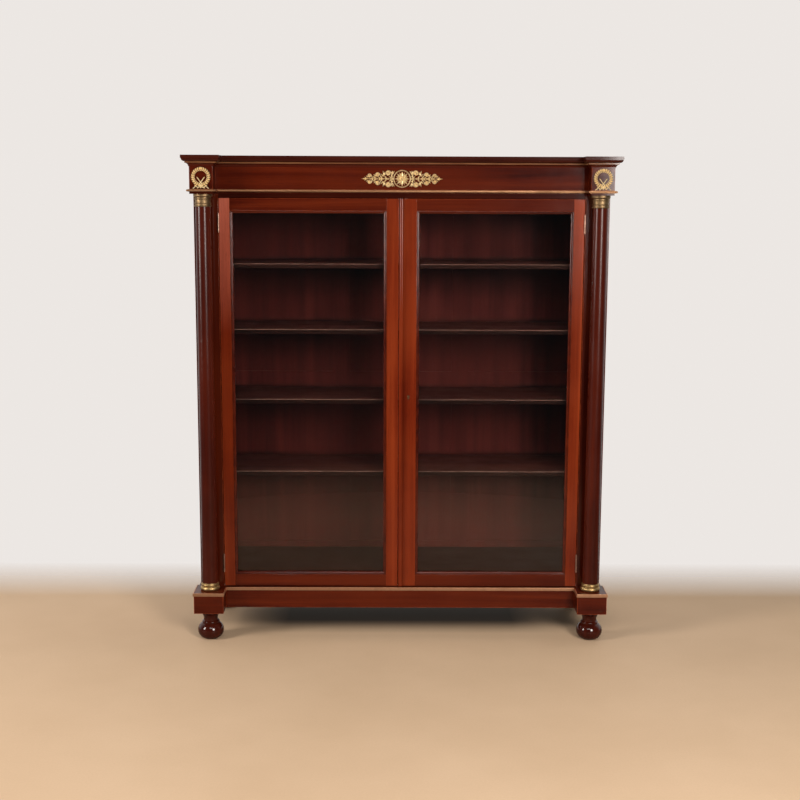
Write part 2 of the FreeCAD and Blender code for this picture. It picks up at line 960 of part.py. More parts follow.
def build_door(name, side):
    nodes = {}
    stiles, rails = door_frame(side)
    nodes[name + "_door_stiles"] = solids(*stiles)
    nodes[name + "_door_rails"] = solids(*rails)
    glass_y = door_face + glass_set_back
    sash = moulding_run(sash_section(), pane_path(side, glass_y, -1), Vector(0, -1, 0), True)
    nodes[name + "_door_moulding"] = solids(*sash)
    edges = sorted(door_span(side)[1:3])
    nodes[name + "_door_glass"] = solids(
        box(
            (edges[0] + glass_clear, edges[1] - glass_clear),
            (glass_y, glass_y + glass_thick),
            (door_bottom + door_rail + glass_clear, door_top - door_rail - glass_clear),
        )
    )
    rear = pane_path(side, glass_y + glass_thick, 1)
    beads = moulding_run(glazing_section(), rear, Vector(0, 1, 0), True)
    nodes[name + "_door_glazing_beads"] = solids(*beads)
    return nodes


def meeting_bead():
    """Half-round strip down the right door's meeting edge."""
    half = meeting_bead_wide / 2
    steps = [(-half, 0), ((0, -meeting_bead_out), (half, 0))]
    section = face_of(steps, lambda x, y: Vector(x, door_face + y, door_bottom))
    return section.extrude(Vector(0, 0, door_top - door_bottom))


# Lock of the right door


def lock_y():
    return (door_face + door_thick - lock_case_size[1], door_face + door_thick)


def lock_body():
    """Outside of the lock, let into the rear of the right meeting stile."""
    meeting = door_span(1)[3]
    long, _, high = lock_case_size
    return box((meeting, meeting + long), lock_y(), (lock_z - high / 2, lock_z + high / 2))


def bolt_box(clearance, reach):
    """Lock bolt's bar, grown all round by a clearance and lengthened towards the left door."""
    meeting = door_span(1)[3]
    long, thick, high = lock_bolt_size
    middle = sum(lock_y()) / 2
    return box(
        (meeting + lock_bolt_in - reach, meeting + lock_bolt_in + long + clearance),
        (middle - thick / 2 - clearance, middle + thick / 2 + clearance),
        (lock_z - high / 2 - clearance, lock_z + high / 2 + clearance),
    )


def bolt_mortise():
    """Slot in the left meeting stile that the thrown lock bolt enters."""
    slot = bolt_box(lock_clear, lock_throw + lock_slot_spare).BoundBox
    edge = door_span(-1)[3]
    return box((slot.XMin, edge), (slot.YMin, slot.YMax), (slot.ZMin, slot.ZMax))


def keyhole_shape(grow, y, deep):
    """Round hole over a slot, as the two shapes that overlap."""
    x = door_span(1)[3] + key_in
    z = lock_z + key_rise
    eye = rod(Vector(x, y, z), Vector(x, y + deep, z), keyhole_r + grow)
    half = key_slot_wide / 2 + grow
    slot = box((x - half, x + half), (y, y + deep), (z - key_slot_long - grow, z))
    return [eye, slot]


def build_lock():
    outer = keyhole_shape(key_liner, door_face, key_liner_deep)
    liner = outer[0].fuse(outer[1]).removeSplitter()
    channel = bolt_box(lock_clear, 2)
    return {
        "lock_case": solids(lock_body().cut(channel)),
        "lock_bolt": solids(bolt_box(0, 0)),
        "keyhole_liner": solids(liner.cut(keyhole_shape(0, door_face, key_liner_deep))),
    }


# Bolts of the left door


def bolt_axis():
    """Both bolts stand on one line, behind the middle of the left meeting stile."""
    _, _, inner, meeting = door_span(-1)
    y = door_face + door_thick + bolt_plate[1] + bolt_stand_off
    return (inner + meeting) / 2, y


def bolt_tip(end):
    """Height of a bolt's tip at rest; end is 1 at the top of the door and -1 at the bottom."""
    return (slab_base - header_high if end > 0 else floor_top) - end * bolt_rest_gap


def bolt_hole(end):
    """Hole that a thrown bolt enters, in the header or in the bottom board."""
    x, y = bolt_axis()
    tip = bolt_tip(end)
    start = Vector(x, y, tip)
    return rod(start, Vector(x, y, tip + end * (bolt_throw + 4)), bolt_r + bolt_hole_clear)


def slide_bolt(end):
    """Round bolt with a turned knob at its side."""
    x, y = bolt_axis()
    tip = bolt_tip(end)
    bolt = rod(Vector(x, y, tip), Vector(x, y, tip - end * bolt_long), bolt_r)
    knob_z = tip - end * (bolt_long - bolt_knob_in)
    knob_y = y + bolt_r + bolt_stem_long
    knob_back = Vector(x, knob_y, knob_z)
    stem = rod(Vector(x, y, knob_z), knob_back, bolt_stem_r)
    knob = rod(knob_back, Vector(x, knob_y + bolt_knob_high, knob_z), bolt_knob_r)
    return bolt.fuse([stem, knob]).removeSplitter()


def bolt_guides(end):
    """Plate on the stile with two bored lugs that the bolt slides through."""
    x, y = bolt_axis()
    wide, thick, long = bolt_plate
    near = bolt_tip(end) - end * bolt_tip_out
    far = near - end * long
    rear = door_face + door_thick
    bore = rod(Vector(x, y, near + end * 5), Vector(x, y, far - end * 5), bolt_r + bolt_clear)
    base = box((x - wide / 2, x + wide / 2), (rear, rear + thick), (near, far))
    lug_half = bolt_r + bolt_lug_wall
    lugs = [
        box((x - lug_half, x + lug_half), (rear, y + lug_half), (z, z - end * bolt_lug_long))
        for z in (near, far + end * bolt_lug_long)
    ]
    return base.fuse(lugs).removeSplitter().cut(bore)


def build_bolts():
    return {
        "top_bolt": solids(slide_bolt(1)),
        "bottom_bolt": solids(slide_bolt(-1)),
        "bolt_guides": solids(bolt_guides(1), bolt_guides(-1)),
    }


def build_all():
    nodes = {}
    nodes.update(build_case())
    nodes.update(build_entablature())
    nodes.update(build_columns())
    nodes.update(build_plinth())
    nodes.update(build_hinges())
    for name, side in sides.items():
        nodes.update(build_door(name, side))
    nodes["meeting_bead"] = solids(meeting_bead())
    nodes.update(build_lock())
    nodes.update(build_bolts())
    return nodes


os.makedirs("parts", exist_ok=True)
for node_name, pieces in sorted(build_all().items()):
    shape = pieces[0] if len(pieces) == 1 else Part.makeCompound(pieces)
    shape.exportStep("parts/%s.step" % node_name)
    print("%-26s %2d solids %12.1f mm3" % (node_name, len(pieces), shape.Volume))
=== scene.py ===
import json
import math
import random

import bmesh
import bpy
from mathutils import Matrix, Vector

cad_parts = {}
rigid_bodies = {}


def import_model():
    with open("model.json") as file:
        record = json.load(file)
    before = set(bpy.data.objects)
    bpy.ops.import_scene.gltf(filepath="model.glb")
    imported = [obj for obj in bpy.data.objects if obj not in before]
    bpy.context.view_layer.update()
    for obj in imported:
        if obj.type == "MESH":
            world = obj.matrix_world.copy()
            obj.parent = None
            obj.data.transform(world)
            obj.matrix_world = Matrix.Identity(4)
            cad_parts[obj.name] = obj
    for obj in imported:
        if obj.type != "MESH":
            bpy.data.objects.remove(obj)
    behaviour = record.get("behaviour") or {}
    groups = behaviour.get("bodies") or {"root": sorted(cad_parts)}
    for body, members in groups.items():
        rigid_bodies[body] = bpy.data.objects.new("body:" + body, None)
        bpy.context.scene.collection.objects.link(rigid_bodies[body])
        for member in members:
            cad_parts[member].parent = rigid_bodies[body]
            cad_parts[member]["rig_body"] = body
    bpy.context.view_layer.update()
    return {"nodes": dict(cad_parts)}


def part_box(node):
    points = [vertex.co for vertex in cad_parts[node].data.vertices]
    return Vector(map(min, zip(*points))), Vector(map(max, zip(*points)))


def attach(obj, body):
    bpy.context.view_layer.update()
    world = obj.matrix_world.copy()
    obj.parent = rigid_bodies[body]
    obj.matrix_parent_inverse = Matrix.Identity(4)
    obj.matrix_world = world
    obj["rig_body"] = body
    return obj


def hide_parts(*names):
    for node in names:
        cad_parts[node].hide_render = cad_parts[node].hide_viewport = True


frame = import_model()
nodes = frame["nodes"]
MM = 0.001
SHELVES = ["shelf_%d" % number for number in range(1, 5)]

# Linear colours: dark, middle and light of each wood
RED = ((0.028, 0.0026, 0.0009), (0.060, 0.0058, 0.0015), (0.108, 0.014, 0.0034))
BRIGHT = ((0.070, 0.006, 0.0015), (0.145, 0.016, 0.0035), (0.25, 0.038, 0.009))
DARK = ((0.022, 0.0025, 0.0012), (0.050, 0.006, 0.0028), (0.085, 0.012, 0.005))
BROWN = ((0.022, 0.0032, 0.0015), (0.040, 0.006, 0.0028), (0.066, 0.012, 0.006))
INSIDE = ((0.027, 0.0038, 0.0028), (0.044, 0.0064, 0.0050), (0.064, 0.0108, 0.0083))
SHELF_TOP = ((0.021, 0.0052, 0.0040), (0.035, 0.0088, 0.0064), (0.056, 0.015, 0.011))
# Painted shade: very dark tone for the shelves' fronts and undersides, also used on the boards inside the
# case
SHELF = ((0.006, 0.0016, 0.0012), (0.010, 0.0028, 0.002), (0.016, 0.005, 0.0036))
# Painted highlight: pale tone on the shelves' rounded front lips
LIP_HIGHLIGHT = ((0.085, 0.036, 0.026), (0.13, 0.060, 0.044), (0.19, 0.095, 0.07))
REAR = ((0.075, 0.030, 0.014), (0.12, 0.052, 0.025), (0.17, 0.08, 0.04))
# Painted reflection: pinkish sheen on the door stiles by the columns
STILE_SHEEN = (0.62, 0.165, 0.105)
# Painted highlight along the cornice's fillet
FILLET_HIGHLIGHT = (0.24, 0.105, 0.044)

# Linear colours: each metal clean and tarnished
GILT = ((1.0, 0.82, 0.49), (0.34, 0.21, 0.08))
CAPITAL = ((0.25, 0.165, 0.085), (0.10, 0.058, 0.027))
BASE = ((0.50, 0.34, 0.15), (0.20, 0.12, 0.05))
OLD_BEAD = ((0.47, 0.25, 0.13), (0.16, 0.07, 0.03))
# Painted light: the plinth strip's old brass made paler than the bead's, where it gets less light
BRIGHTENED_STRIP = ((0.64, 0.36, 0.21), (0.25, 0.115, 0.055))
# Painted shade: dark brass for the keyhole liner, so the hole reads dark
KEYHOLE_SHADE = ((0.16, 0.09, 0.05), (0.05, 0.03, 0.02))
HINGE = ((0.52, 0.32, 0.24), (0.14, 0.07, 0.045))
LOCK = ((0.60, 0.42, 0.2), (0.25, 0.14, 0.06))


# Materials


class Graph:
    """A node material under construction."""

    def __init__(self, name):
        self.material = bpy.data.materials.new(name)
        self.material.use_nodes = True
        self.tree = self.material.node_tree
        self.shader = self.tree.nodes["Principled BSDF"]

    def node(self, kind, **settings):
        made = self.tree.nodes.new("ShaderNode" + kind)
        for key, value in settings.items():
            setattr(made, key, value)
        return made

    def link(self, source, target):
        self.tree.links.new(source, target)

    def feed(self, socket, value):
        if isinstance(value, bpy.types.NodeSocket):
            self.link(value, socket)
        else:
            socket.default_value = value

    def place(self, scale=(1, 1, 1), shift=(0, 0, 0)):
        """Object coordinates in metres, shifted and stretched."""
        coords = self.node("TexCoord").outputs["Object"]
        mapping = self.node("Mapping")
        mapping.inputs["Location"].default_value = shift
        mapping.inputs["Scale"].default_value = scale
        self.link(coords, mapping.inputs["Vector"])
        return mapping.outputs["Vector"]

    def coordinates(self):
        """Object coordinates in metres, as separate X, Y and Z."""
        separate = self.node("SeparateXYZ")
        self.link(self.place(), separate.inputs[0])
        return separate.outputs

    def noise(self, vector, scale, detail=3.0, rough=0.55, distortion=0.0):
        made = self.node("TexNoise")
        self.link(vector, made.inputs["Vector"])
        made.inputs["Scale"].default_value = scale
        made.inputs["Detail"].default_value = detail
        made.inputs["Roughness"].default_value = rough
        made.inputs["Distortion"].default_value = distortion
        return made.outputs["Fac"]

    def span(self, value, low, high, to_low=0.0, to_high=1.0):
        """Remap a value, clamped."""
        made = self.node("MapRange")
        self.link(value, made.inputs["Value"])
        for name, number in zip(("From Min", "From Max", "To Min", "To Max"), (low, high, to_low, to_high)):
            made.inputs[name].default_value = number
        return made.outputs["Result"]

    def math(self, operation, first, second):
        made = self.node("Math", operation=operation)
        self.feed(made.inputs[0], first)
        self.feed(made.inputs[1], second)
        return made.outputs[0]

    def mix(self, factor, first, second, blend="MIX"):
        made = self.node("Mix", data_type="RGBA", blend_type=blend)
        self.feed(made.inputs["Factor"], factor)
        for socket, value in zip((made.inputs[6], made.inputs[7]), (first, second)):
            if isinstance(value, tuple):
                socket.default_value = (*value, 1.0)
            else:
                self.link(value, socket)
        return made.outputs[2]

    def ramp(self, value, stops):
        """Colours by value; stops are pairs of position and colour."""
        made = self.node("ValToRGB")
        self.link(value, made.inputs["Fac"])
        elements = made.color_ramp.elements
        while len(elements) < len(stops):
            elements.new(0.5)
        for element, (position, colour) in zip(elements, stops):
            element.position = position
            element.color = (*colour, 1.0)
        return made.outputs["Color"]

    def bump(self, height, distance, strength):
        made = self.node("Bump")
        made.inputs["Strength"].default_value = strength
        made.inputs["Distance"].default_value = distance
        self.link(height, made.inputs["Height"])
        return made.outputs["Normal"]

    def set(self, **values):
        """Values or links for the shader's sockets, named with underscores for spaces."""
        for key, value in values.items():
            self.feed(self.shader.inputs[key.replace("_", " ")], value)


AXES = {"x": 0, "y": 1, "z": 2}


def grain_scale(axis, along, across):
    """Scale that stretches a texture along the grain."""
    scale = [across, across, across]
    scale[AXES[axis]] = along
    return tuple(scale)


def shade(colour, amount):
    return tuple(channel * amount for channel in colour)


def shades(tones, amount):
    return [shade(tone, amount) for tone in tones]


def random_shift(seed):
    """Its own place in the noise for each seed."""
    rng = random.Random(seed)
    return tuple(rng.uniform(-9, 9) for _ in range(3))


def figure(dark, middle, light):
    """Colour stops for a ribbon of grain."""
    return [(0.3, dark), (0.5, middle), (0.7, light)]


def wood(name, axis, dark, middle, light, seed, gloss=0.5, worn=0.0, rough=0.34, coat=0.07, extra=None):
    """French-polished mahogany, its grain along one axis: ribbon figure, streaks, pores and clouding."""
    graph = Graph(name)
    shift = random_shift(seed)
    ribbon = graph.noise(graph.place(grain_scale(axis, 0.9, 24), shift), 1.0, 4, 0.55, 0.4)
    streak = graph.noise(graph.place(grain_scale(axis, 5, 420), shift), 1.0, 3, 0.65)
    pores = graph.noise(graph.place(grain_scale(axis, 45, 1500), shift), 1.0, 2, 0.5)
    cloud = graph.noise(graph.place(shift=shift), 3.2, 3, 0.5)
    colour = graph.ramp(ribbon, figure(dark, middle, light))
    if extra:
        colour = extra(graph, colour)
    colour = graph.mix(graph.span(streak, 0.35, 0.7, 0.0, 0.35), colour, shade(dark, 0.75))
    pits = graph.span(pores, 0.6, 0.72)
    colour = graph.mix(graph.math("MULTIPLY", pits, 0.55), colour, shade(dark, 0.35))
    colour = graph.mix(graph.span(cloud, 0.38, 0.68, 0.0, 0.55), colour, shade(light, 0.9))
    if worn:
        rubbed = graph.noise(graph.place(shift=shift), 38, 4, 0.7)
        pale = (light[0] * 2.1, light[1] * 2.6, light[2] * 3.0)
        colour = graph.mix(graph.span(rubbed, 0.42, 0.62, 0.0, worn), colour, pale)
    graph.set(Base_Color=colour)
    smudge = graph.noise(graph.place(shift=shift), 11, 4, 0.65)
    graph.set(Roughness=graph.span(smudge, 0.3, 0.75, rough - 0.06, rough + 0.1))
    graph.set(Coat_Weight=gloss, Coat_IOR=1.5, Specular_IOR_Level=0.02)
    graph.set(Coat_Roughness=graph.span(smudge, 0.35, 0.75, coat, coat + 0.06))
    fine = graph.bump(graph.math("ADD", pits, graph.math("MULTIPLY", streak, -0.8)), 0.00012, 0.5)
    wave = graph.noise(graph.place(shift=shift), 26, 2, 0.4)
    graph.set(Normal=fine, Coat_Normal=graph.bump(wave, 0.0006, 0.06))
    return graph.material


def red_foot_and_fillet_highlight(graph, colour):
    """Cornice: a painted highlight along the fillet, broken up by noise, and redder wood below it."""
    height = graph.coordinates()["Z"]
    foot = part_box("cornice_moulding")[0].z
    low = foot + 9.8 * MM
    high = foot + 16 * MM
    blur = 1.2 * MM
    below = graph.span(height, foot + 8.5 * MM, foot + 10 * MM, 1.0, 0.0)
    colour = graph.mix(below, colour, RED[1])
    # Painted highlight: a pale band along the fillet
    above_low = graph.span(height, low, low + blur)
    below_high = graph.span(height, high - blur, high, 1.0, 0.0)
    band = graph.math("MULTIPLY", above_low, below_high)
    highlight_breakup = graph.span(graph.noise(graph.place((3, 60, 60)), 6, 4, 0.6), 0.3, 0.6, 0.45, 0.95)
    return graph.mix(graph.math("MULTIPLY", band, highlight_breakup), colour, FILLET_HIGHLIGHT)


def painted_sheen_top(graph, colour):
    """Door stiles by the columns: a painted pinkish sheen, the reflection of something light, towards the
    top, most on the left.
    """
    spot = graph.coordinates()
    edge = 0.555  # just inside the outer stiles
    blur = 2 * MM
    left = graph.span(spot["X"], -edge - blur, -edge + blur, 0.62, 0.0)
    right = graph.span(spot["X"], edge - blur, edge + blur, 0.0, 0.24)
    rise = graph.span(spot["Z"], 1.05, 1.46)
    amount = graph.math("MULTIPLY", graph.math("ADD", left, right), rise)
    return graph.mix(amount, colour, STILE_SHEEN)


def shelf_shadows_and_rear(graph, colour):
    """Back: stained inside, with a painted shadow just below each shelf, left as plain wood outside."""
    low = 0.2
    high = 1.5
    height = graph.span(graph.coordinates()["Z"], low, high)
    tops = [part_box(shelf)[1].z for shelf in SHELVES] + [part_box("top_board")[0].z]
    # Painted shadow: darker in a band below each shelf and just above its top
    stops = []
    for top in tops:
        for rise, tone in ((-140, 1.0), (-30, 0.15), (2, 0.15), (12, 1.0)):
            stops.append(((top + rise * MM - low) / (high - low), (tone, tone, tone)))
    inside = graph.mix(1.0, colour, graph.ramp(height, stops), "MULTIPLY")
    grain = graph.noise(graph.place((30, 30, 0.8)), 1.0, 4, 0.6, 0.4)
    plain = graph.ramp(grain, figure(*REAR))
    separate = graph.node("SeparateXYZ")
    graph.link(graph.node("NewGeometry").outputs["Normal"], separate.inputs[0])
    return graph.mix(graph.span(separate.outputs["Y"], -0.5, 0.2), inside, plain)


def brass(name, clean, tarnish, seed, rough, grime=0.5, scale=90.0, metal=1.0, face_y=None):
    """Lacquered or gilt brass with tarnish in patches and, on castings, dark tarnish and painted shade in
    the hollows by the face.
    """
    graph = Graph(name)
    shift = random_shift(seed)
    patch = graph.noise(graph.place(shift=shift), scale, 5, 0.62)
    speck = graph.noise(graph.place(shift=shift), scale * 9, 3, 0.6)
    dirt = graph.span(patch, 0.4, 0.66, 0.0, grime)
    colour = graph.mix(dirt, clean, tarnish)
    colour = graph.mix(graph.span(speck, 0.55, 0.75, 0.0, 0.5 * grime), colour, shade(tarnish, 0.4))
    if face_y is not None:
        # Dark tarnish and painted shade in the hollows near the wood
        tarnish_and_shade_in_hollows = graph.span(graph.coordinates()["Y"], face_y - 2.4 * MM, face_y - 0.6 * MM)
        colour = graph.mix(graph.math("MULTIPLY", tarnish_and_shade_in_hollows, 0.85), colour, shade(tarnish, 0.22))
    graph.set(Base_Color=colour, Metallic=metal)
    graph.set(Roughness=graph.span(patch, 0.3, 0.75, rough, rough + 0.22))
    graph.set(Normal=graph.bump(speck, 0.00008, 0.6))
    return graph.material


def pane_glass(name, seed):
    """Old window glass: slightly wavy, with smears, and open to light from lamps."""
    graph = Graph(name)
    shift = (seed, 3.1, seed * 0.7)
    smear = graph.noise(graph.place((1, 1, 0.4), shift), 7, 5, 0.7)
    graph.set(Base_Color=(0.88, 0.91, 0.89, 1.0), Transmission_Weight=1.0, IOR=1.5)
    graph.set(Roughness=graph.span(smear, 0.5, 0.8, 0.0, 0.03))
    wave = graph.noise(graph.place((1, 1, 0.5), shift), 4, 1, 0.4)
    graph.set(Normal=graph.bump(wave, 0.0015, 0.12))
    clear = graph.node("BsdfTransparent")
    clear.inputs["Color"].default_value = (0.9, 0.92, 0.9, 1.0)
    path = graph.node("LightPath")
    mixed = graph.node("MixShader")
    graph.link(path.outputs["Is Shadow Ray"], mixed.inputs["Fac"])
    graph.link(graph.shader.outputs["BSDF"], mixed.inputs[1])
    graph.link(clear.outputs["BSDF"], mixed.inputs[2])
    graph.link(mixed.outputs["Shader"], graph.tree.nodes["Material Output"].inputs["Surface"])
    return graph.material


def paint(material, *names):
    """Material for whole CAD nodes."""
    for name in names:
        mesh = nodes[name].data
        mesh.materials.clear()
        mesh.materials.append(material)


# Pieces


def new_piece(name, mesh, body, materials, replaced):
    """Object that rides on a body and stands for CAD nodes."""
    for material in materials:
        mesh.materials.append(material)
    piece = bpy.data.objects.new(name, mesh)
    bpy.context.scene.collection.objects.link(piece)
    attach(piece, body)
    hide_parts(*replaced)
    return piece


def softened(node, width, material, edge_material):
    """Copy of a CAD board whose long sharp edges are rounded over, standing for its node."""
    built = bmesh.new()
    built.from_mesh(nodes[node].data)
    bmesh.ops.remove_doubles(built, verts=built.verts, dist=0.02 * MM)
    bmesh.ops.dissolve_limit(
        built, angle_limit=math.radians(1), verts=built.verts, edges=built.edges, delimit=set()
    )
    edges = [
        edge
        for edge in built.edges
        if len(edge.link_faces) == 2
        and edge.calc_length() > 50 * MM
        and edge.calc_face_angle(0) > math.radians(50)
    ]
    bmesh.ops.bevel(
        built,
        geom=edges,
        offset=width,
        segments=3,
        profile=0.5,
        affect="EDGES",
        clamp_overlap=True,
        material=1,
        harden_normals=False,
    )
    mesh = bpy.data.meshes.new(node + "_softened")
    built.to_mesh(mesh)
    built.free()
    body = nodes[node]["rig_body"]
    piece = new_piece(node + "_wood", mesh, body, (material, edge_material), [node])
    for face in mesh.polygons:
        face.use_smooth = face.material_index == 1
    return piece


def shelf_surface(face, lip_end):
    """0 for a shelf's top and ends, 1 for its front lip with a painted highlight, 2 for its front and
    underside in painted shade.
    """
    if face.normal.y < -0.9 or face.normal.z < -0.5:
        return 2
    if face.normal.y < -0.1 and face.normal.z > 0.1 and face.center.y < lip_end:
        return 1
    return 0


class Relief:
    """Cast ornament on an upright face. Points are (u, v, w) in mm: right, up and out of the face."""

    def __init__(self, x, y, z):
        self.origin = Vector((x, y, z))
        self.built = bmesh.new()

    def at(self, u, v, w):
        """New vertex at a point of the face."""
        return self.built.verts.new(self.origin + Vector((u, -w, v)) * MM)

    def loft(self, rings):
        """Skin between rings of equal length; the two end rings are capped."""
        made = [[self.at(*point) for point in ring] for ring in rings]
        count = len(made[0])
        for one, two in zip(made, made[1:]):
            for index in range(count):
                after = (index + 1) % count
                self.built.faces.new((one[index], one[after], two[after], two[index]))
        self.built.faces.new(made[0][::-1])
        self.built.faces.new(made[-1])

    def leaf(self, start, end, wide, high, bend=0.0, lobes=0, blunt=0.8):
        """Veined leaf from start to end, bowed sideways, with optional lobes along its edges."""
        start = Vector(start)
        end = Vector(end)
        run = end - start
        side = Vector((-run.y, run.x)).normalized()
        middle = (start + end) / 2 + side * bend
        rings = []
        steps = 12
        for step in range(steps + 1):
            t = step / steps
            spot = start * (1 - t) ** 2 + middle * 2 * t * (1 - t) + end * t ** 2
            along = ((middle - start) * (1 - t) + (end - middle) * t).normalized()
            across = Vector((-along.y, along.x))
            swell = max(0.06, math.sin(math.pi * min(1, 0.12 + 0.88 * t) ** blunt))
            if lobes:
                swell *= 0.82 + 0.3 * abs(math.sin(math.pi * lobes * t))
            half = wide / 2 * swell
            top = high * (0.35 + 0.65 * swell)
            profile = ((-1, 0), (-1, 0.35), (-0.55, 1), (0, 0.62), (0.55, 1), (1, 0.35), (1, 0))
            rings.append([(*(spot + across * half * share), top * rise) for share, rise in profile])
        self.loft(rings)

    def stem(self, points, wide, high, taper):
        """Rounded stalk along points; taper is its last size as a share of its first."""
        rings = []
        last = len(points) - 1
        for index, point in enumerate(points):
            before = Vector(points[max(0, index - 1)])
            after = Vector(points[min(last, index + 1)])
            along = (after - before).normalized()
            across = Vector((-along.y, along.x))
            size = 1 - (1 - taper) * index / last
            ring = []
            for corner in range(8):
                turn = 2 * math.pi * corner / 8
                offset = across * math.cos(turn) * wide / 2 * size
                ring.append((*(Vector(point) + offset), high * size * (0.5 + 0.5 * math.sin(turn))))
            rings.append(ring)
        self.loft(rings)

    def knob(self, u, v, radius, high):
        """Low dome."""
        sides = 14
        rings = []
        for step in range(6):
            rise = math.pi / 2 * step / 5.5
            reach = radius * math.cos(rise)
            ring = []
            for side in range(sides):
                turn = 2 * math.pi * side / sides
                ring.append((u + reach * math.cos(turn), v + reach * math.sin(turn), high * math.sin(rise)))
            rings.append(ring)
        self.loft(rings)

    def flower(self, u, v, radius, petals, high, turn):
        """Petals round a knob."""
        for index in range(petals):
            angle = turn + 2 * math.pi * index / petals
            way = Vector((math.cos(angle), math.sin(angle)))
            centre = Vector((u, v))
            wide = 1.75 * radius * math.sin(math.pi / petals)
            self.leaf(centre + way * radius * 0.12, centre + way * radius, wide, high, blunt=1.5)
        self.knob(u, v, radius * 0.32, high * 1.35)

    def ring(self, u, v, profile, sides=72):
        """Band turned about (u, v) from a profile of (radius, height) points."""
        rings = []
        for index in range(sides):
            turn = 2 * math.pi * index / sides
            way = Vector((math.cos(turn), math.sin(turn)))
            rings.append([self.at(u + way.x * r, v + way.y * r, w) for r, w in profile])
        count = len(profile)
        for index in range(sides):
            one = rings[index]
            two = rings[(index + 1) % sides]
            for k in range(count):
                after = (k + 1) % count
                self.built.faces.new((one[k], one[after], two[after], two[k]))

    def finish(self, name, material, replaced):
        """The ornament as a piece that rides on the case."""
        bmesh.ops.recalc_face_normals(self.built, faces=self.built.faces)
        mesh = bpy.data.meshes.new(name)
        self.built.to_mesh(mesh)
        self.built.free()
        mesh.polygons.foreach_set("use_smooth", [True] * len(mesh.polygons))
        mesh.set_sharp_from_angle(angle=math.radians(48))
        new_piece(name, mesh, "case", [material], replaced)


def volute(centre, start_radius, end_radius, start_turn, turns):
    """Points of a spiral that winds in about its centre; turns may be negative."""
    steps = 22
    points = []
    for step in range(steps + 1):
        t = step / steps
        radius = start_radius + (end_radius - start_radius) * t
        angle = start_turn + 2 * math.pi * turns * t
        points.append((centre[0] + radius * math.cos(angle), centre[1] + radius * math.sin(angle)))
    return points


def gilding(name, node, seed, grime, metal):
    """Matt gilding for one casting, with dark tarnish and painted shade where it meets the wood."""
    return brass(name, *GILT, seed, 0.38, grime, 240.0, metal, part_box(node)[1].y)


def centre_mount():
    """Openwork gilt mount: a ringed rosette between two tapering sprays of scrolled foliage."""
    low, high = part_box("centre_mount")
    relief = Relief((low.x + high.x) / 2, high.y, (low.z + high.z) / 2)
    relief.ring(0, 0, [(25.2, 0), (25.2, 2.4), (26.2, 3.9), (27.4, 4.8), (28.4, 3.9), (29, 2.4), (29, 0)])
    for index in range(8):
        angle = math.pi / 2 + index * math.pi / 4
        way = Vector((math.cos(angle), math.sin(angle)))
        relief.leaf(way * 5, way * 25.4, 8.4, 3.9, lobes=3, blunt=0.7)
        between = Vector((math.cos(angle + math.pi / 8), math.sin(angle + math.pi / 8)))
        relief.leaf(between * 9, between * 24.4, 3.2, 2.8, blunt=0.9)
    relief.flower(0, 0, 9.0, 8, 4.2, math.pi / 8)
    relief.knob(0, 0, 3.0, 5.0)
    for flip in (-1, 1):
        spray(relief, flip)
    gilt = gilding("gilt_bronze_mount", "centre_mount", 31, 0.75, 0.72)
    relief.finish("gilt_centre_mount", gilt, ["centre_mount"])


def spray(relief, flip):
    """One side of the mount: scrolls in pairs about the axis, with leaves in their forks."""

    def at(u, v):
        return Vector((flip * u, v))

    for start, end, wide in ((28.5, 45, 7.5), (43, 62, 6.5), (60, 80, 6.5), (78, 97, 6.0), (95, 114, 5.6)):
        relief.leaf(at(start, 0), at(end, 0), wide, 3.4, lobes=3)
    relief.leaf(at(112, 0), at(135, 0), 4.6, 3.6, lobes=3)
    scrolls = ((46, 18.0, 9.2, 32, 3), (81, 12.6, 7.8, 66, 2), (107.5, 9.4, 6.6, 96, 1.5))
    for up in (-1, 1):
        for u, v, radius, root, root_v in scrolls:
            start = math.pi * 1.05 if flip > 0 else -math.pi * 0.05
            curl = volute(at(u, v * up), radius + 0.6, radius * 0.55, start * up, -0.85 * flip * up)
            stalk = [at(root, root_v * up), at(root + 2.5, root_v * up + 3 * up)]
            relief.stem(stalk + curl, 2.8, 3.4, 0.6)
            relief.flower(flip * u, v * up, radius * 0.9, 6, 4.3, 0.3)
        for start, end, wide, bend in (
            ((33, 13), (23.5, 26.5), 5.6, -1.5),
            ((34, 17), (31.5, 27.0), 4.6, 0.0),
            ((31, 6), (37, 15), 4.6, 1.0),
            ((36, 3), (44, 9.5), 4.6, 0.0),
            ((59, 9), (64, 27.0), 5.2, 1.5),
            ((57, 12), (56.5, 23.5), 4.6, 0.0),
            ((61, 8), (71.5, 17.5), 5.0, 0.0),
            ((52, 2), (60, 11), 5.2, 1.0),
            ((66, 2), (72, 9.5), 4.6, 1.0),
            ((72, 2), (80, 6), 4.0, 0.0),
            ((87, 7), (94, 15.5), 4.8, 0.0),
            ((89, 3), (98, 9), 4.6, 0.0),
            ((85, 1.5), (92, 6), 4.0, 0.0),
            ((113, 4), (118.5, 11), 3.8, 0.0),
            ((118, 1.5), (124, 6.5), 3.4, 0.0),
        ):
            begin = at(start[0], start[1] * up)
            relief.leaf(begin, at(end[0], end[1] * up), wide, 3.0, bend=bend * flip * up, lobes=2)


